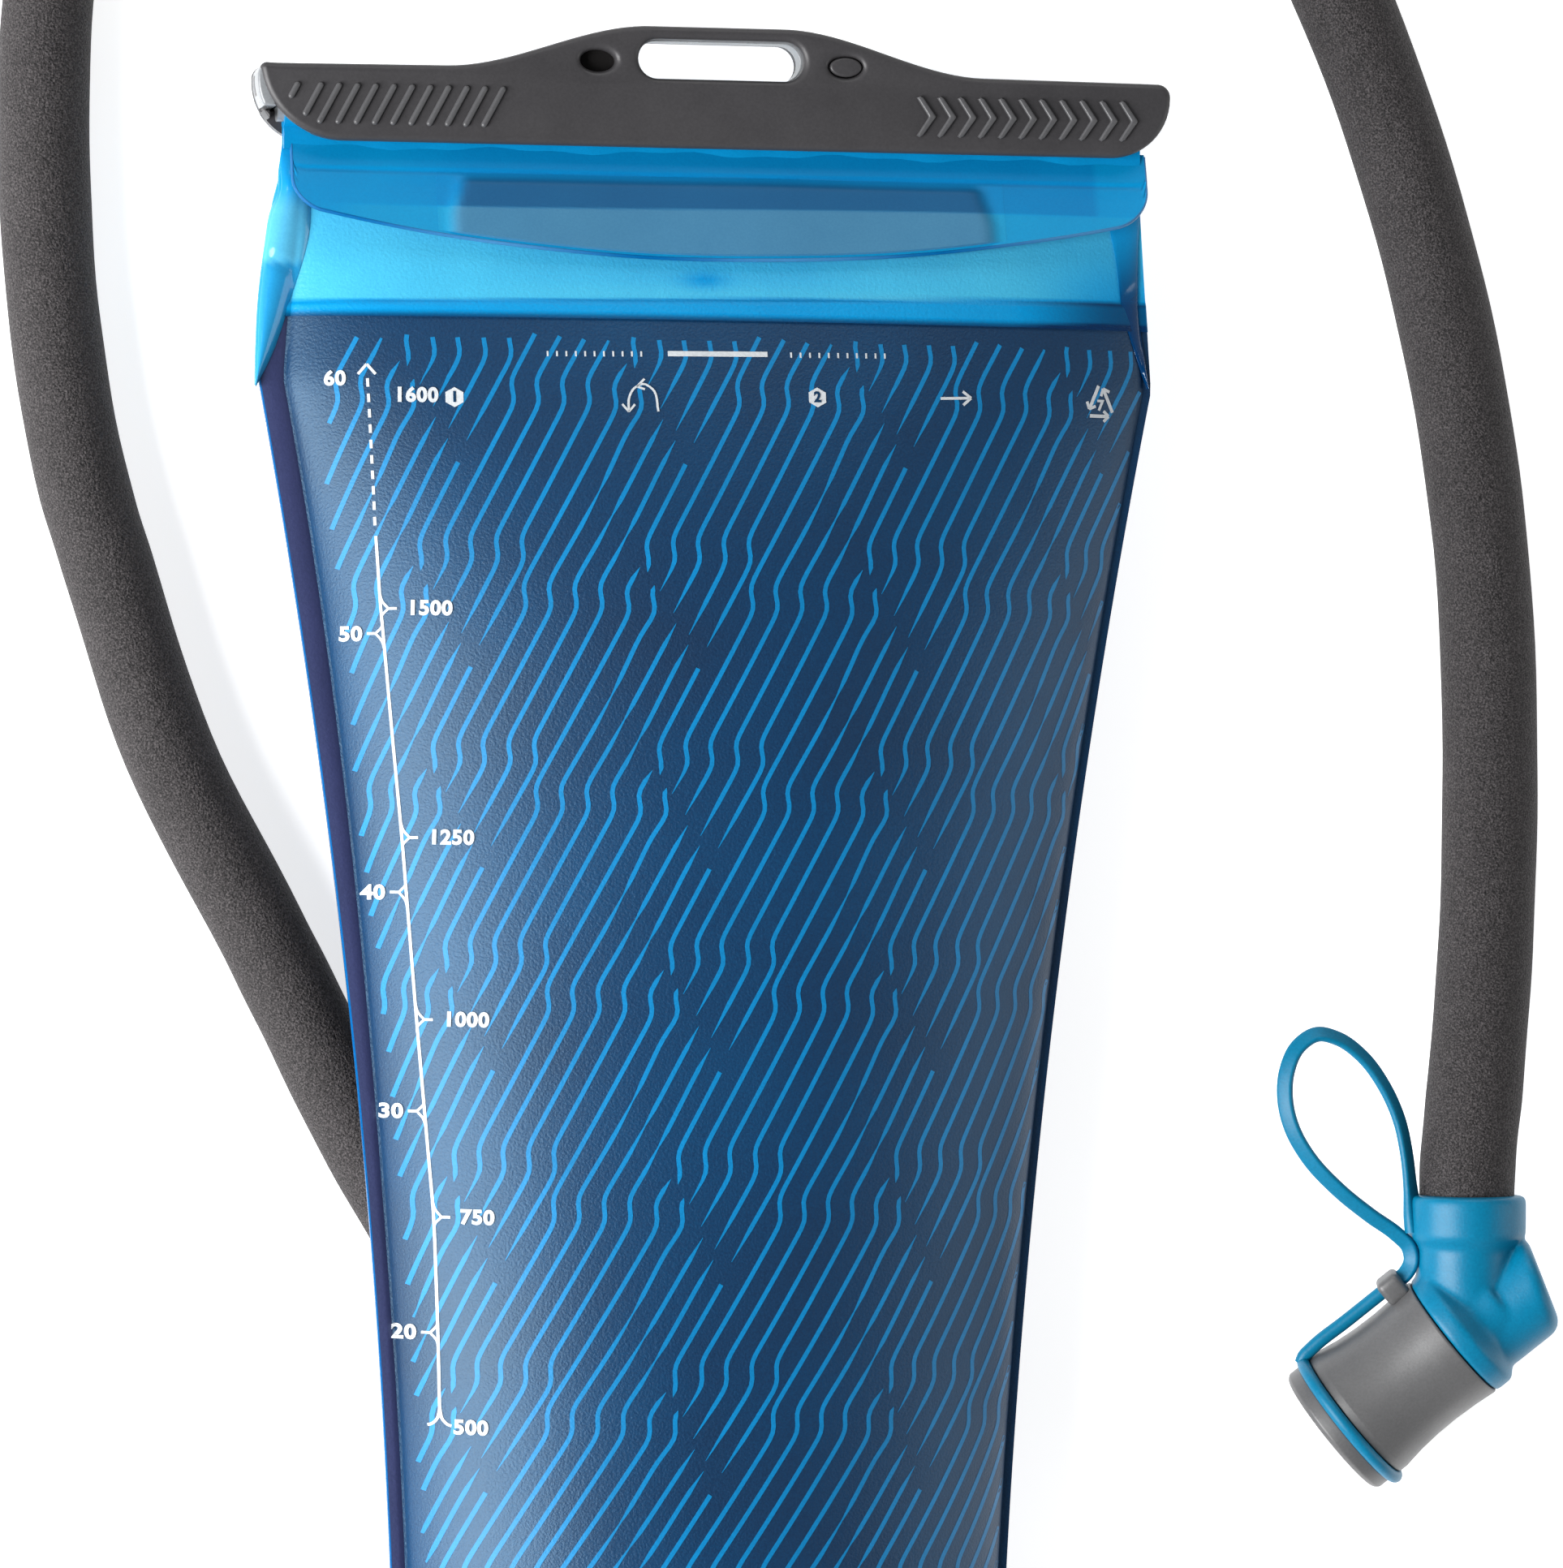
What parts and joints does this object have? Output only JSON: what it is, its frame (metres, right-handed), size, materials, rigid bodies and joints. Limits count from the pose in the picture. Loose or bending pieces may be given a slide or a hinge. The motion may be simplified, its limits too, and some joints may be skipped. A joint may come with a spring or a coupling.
{
  "type": "hydration bladder",
  "caption": "Soft drinking-water reservoir with a slide-bar mouth, a quick-connect port, an insulated drink tube and an elbow bite valve with a tethered dust cover",
  "frame": {"origin": "middle of the bag and slide bar's box, at the height of the surface that the bag lies on", "axes": "+Z out of the bag's front, +Y along the bag towards the slide bar, +X to the right as seen from the front"},
  "size_m": [0.3038, 0.4967, 0.0496],
  "materials": {
    "printed_film": "satin printed TPU film with a fine grain",
    "clear_film": "translucent blue TPU film",
    "frosted_film": "frosted raised film",
    "charcoal_plastic": "fine moulded texture",
    "white_plastic": "translucent natural plastic",
    "sleeve_fabric": "foam-backed knit",
    "tube_plastic": "flexible clear tube",
    "valve_blue": "satin soft plastic",
    "cover_grey": "satin",
    "silicone": "soft translucent silicone",
    "seal_rubber": "matte",
    "spring_steel": "drawn wire"
  },
  "bodies": {
    "bladder": {"front_panel": "printed_film", "back_panel": "printed_film", "mouth_collar_front": "clear_film", "mouth_collar_back": "clear_film", "mouth_fold": "clear_film", "closure_rail": "white_plastic", "mouth_flap": "clear_film", "pull_tab": "frosted_film", "port_flange": "charcoal_plastic", "port_body": "charcoal_plastic", "poppet_spring": "spring_steel"},
    "slide_bar": {"slider_front_shell": "charcoal_plastic", "slider_back_shell": "charcoal_plastic", "slider_core": "white_plastic", "slider_peg": "charcoal_plastic"},
    "poppet": {"shutoff_poppet": "white_plastic", "poppet_seal": "seal_rubber"},
    "button": {"release_button": "cover_grey"},
    "hose": {"tube_connector": "charcoal_plastic", "connector_seal": "seal_rubber", "drink_tube": "tube_plastic", "insulation_sleeve": "sleeve_fabric", "swivel_barb": "white_plastic", "swivel_seal": "seal_rubber"},
    "valve": {"valve_elbow": "valve_blue", "tether_loop": "valve_blue"},
    "bite_insert": {"shutoff_core": "white_plastic", "mouthpiece": "silicone"},
    "cover": {"dust_cover": "cover_grey", "tether_strap": "valve_blue"}
  },
  "joints": [
    {"name": "slide_bar_slide", "type": "slide", "parent": "bladder", "child": "slide_bar", "axis": [-1, 0, 0], "range_m": [0, 0.173]},
    {"name": "connector_pull", "type": "slide", "parent": "bladder", "child": "hose", "axis": [-0.6, 0.8, 0], "range_m": [0, 0.016]},
    {"name": "poppet_travel", "type": "slide", "parent": "bladder", "child": "poppet", "axis": [-0.6, 0.8, 0], "range_m": [0, 0.004]},
    {"name": "button_press", "type": "slide", "parent": "bladder", "child": "button", "axis": [0.8, 0.6, 0], "range_m": [0, 0.0012], "stiffness_N_per_m": 500, "springref_m": -0.002},
    {"name": "valve_swivel", "type": "hinge", "parent": "hose", "child": "valve", "pos_m": [0.1515, -0.0475, 0.023], "axis": [0, 1, 0], "continuous": true},
    {"name": "mouthpiece_twist", "type": "hinge", "parent": "valve", "child": "bite_insert", "pos_m": [0.1515, -0.065, 0.023], "axis": [-0.729, -0.6337, -0.2588], "range_deg": [0, 90]},
    {"name": "cover_pull", "type": "slide", "parent": "valve", "child": "cover", "axis": [-0.729, -0.6337, -0.2588], "range_m": [0, 0.032]}
  ],
  "couplings": [
    {"joint": "poppet_travel", "follows": "connector_pull", "ratio": 0.25}
  ]
}
